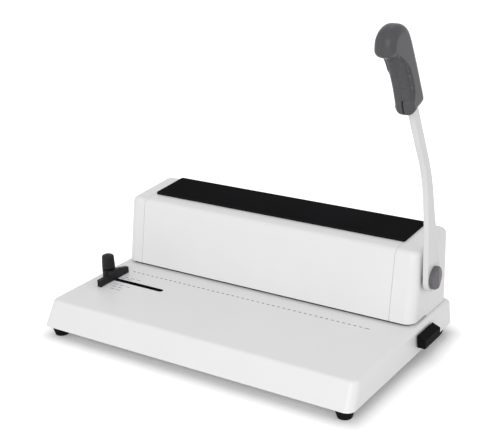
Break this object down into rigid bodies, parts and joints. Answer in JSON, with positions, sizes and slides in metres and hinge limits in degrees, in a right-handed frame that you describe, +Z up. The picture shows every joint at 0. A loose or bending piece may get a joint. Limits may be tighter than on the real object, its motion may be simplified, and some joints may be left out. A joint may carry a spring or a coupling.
{
  "type": "coil binding machine",
  "caption": "Manual desk punch for coil binding: low base on rubber feet, long housing over a paper throat, side lever with grip, sliding edge guide and chip tray.",
  "frame": {"origin": "on the table, under the middle of the whole machine's box", "axes": "+X along the machine towards the lever, -Y is the front where the paper goes in, +Z up"},
  "size_m": [0.3804, 0.224, 0.348],
  "materials": {
    "white_paint": "satin",
    "white_plastic": "satin",
    "lever_paint": "satin",
    "panel_black": "matte",
    "black_plastic": "satin",
    "grip_plastic": "satin",
    "cap_plastic": "satin",
    "foot_rubber": "matte",
    "steel": "ground",
    "dark_steel": "blackened",
    "zinc_sheet": "zinc plated",
    "bronze": "sintered"
  },
  "bodies": {
    "base": {"base_cover": "white_paint", "bottom_plate": "zinc_sheet", "foot_front_left": "foot_rubber", "foot_front_right": "foot_rubber", "foot_rear_left": "foot_rubber", "foot_rear_right": "foot_rubber", "left_cap": "white_plastic", "right_cap": "white_plastic", "front_cover": "white_paint", "rear_cover": "white_paint", "rear_cover_screw_upper_left": "dark_steel", "rear_cover_screw_upper_right": "dark_steel", "rear_cover_screw_lower_left": "dark_steel", "rear_cover_screw_lower_right": "dark_steel", "top_panel": "panel_black", "frame_left": "zinc_sheet", "frame_right": "zinc_sheet", "die_plate": "steel", "punch_guide": "steel", "paper_stop": "dark_steel", "tie_bar_lower": "steel", "tie_bar_upper": "steel", "bush_left": "bronze", "bush_right": "bronze", "frame_bolt_die_left": "dark_steel", "frame_bolt_guide_left": "dark_steel", "frame_bolt_tie_lower_left": "dark_steel", "frame_bolt_tie_upper_left": "dark_steel", "frame_bolt_die_right": "dark_steel", "frame_bolt_guide_right": "dark_steel", "frame_bolt_tie_lower_right": "dark_steel", "frame_bolt_tie_upper_right": "dark_steel", "guide_rod_left": "steel", "guide_rod_right": "steel", "spring_left": "steel", "spring_right": "steel", "tray_rail_front": "zinc_sheet", "tray_rail_rear": "zinc_sheet"},
    "punch": {"punch_bar": "steel", "punch_comb": "steel"},
    "lever": {"main_shaft": "steel", "cam_left": "dark_steel", "cam_right": "dark_steel", "shaft_collar_left": "dark_steel", "shaft_collar_right": "dark_steel", "lever_arm": "lever_paint", "grip_inner": "grip_plastic", "grip_outer": "grip_plastic", "grip_screw_lower": "dark_steel", "grip_screw_upper": "dark_steel", "pivot_cap": "cap_plastic", "lever_bolt": "dark_steel", "lever_spacer": "black_plastic"},
    "guide": {"guide_fence": "black_plastic", "guide_nut": "dark_steel"},
    "knob": {"guide_knob": "black_plastic", "guide_stud": "steel"},
    "tray": {"chip_tray": "zinc_sheet", "tray_pull": "black_plastic"}
  },
  "joints": [
    {"name": "lever_hinge", "type": "hinge", "parent": "base", "child": "lever", "pos_m": [-0.0046, 0.0554, 0.0825], "axis": [1, 0, 0], "range_deg": [0, 75], "stiffness_Nm_per_rad": 0.55, "springref_deg": -22.92},
    {"name": "punch_slide", "type": "slide", "parent": "base", "child": "punch", "axis": [0, 0, -1], "range_m": [0, 0.007], "deforming": ["spring_left", "spring_right"]},
    {"name": "guide_slide", "type": "slide", "parent": "base", "child": "guide", "axis": [1, 0, 0], "range_m": [0, 0.071]},
    {"name": "knob_turn", "type": "hinge", "parent": "guide", "child": "knob", "pos_m": [-0.1709, -0.022, 0.05], "axis": [0, 0, 1], "range_deg": [0, 270]},
    {"name": "tray_slide", "type": "slide", "parent": "base", "child": "tray", "axis": [1, 0, 0], "range_m": [0, 0.28]}
  ],
  "couplings": [
    {"joint": "punch_slide", "follows": "lever_hinge", "m_per_rad": 0.005347}
  ]
}
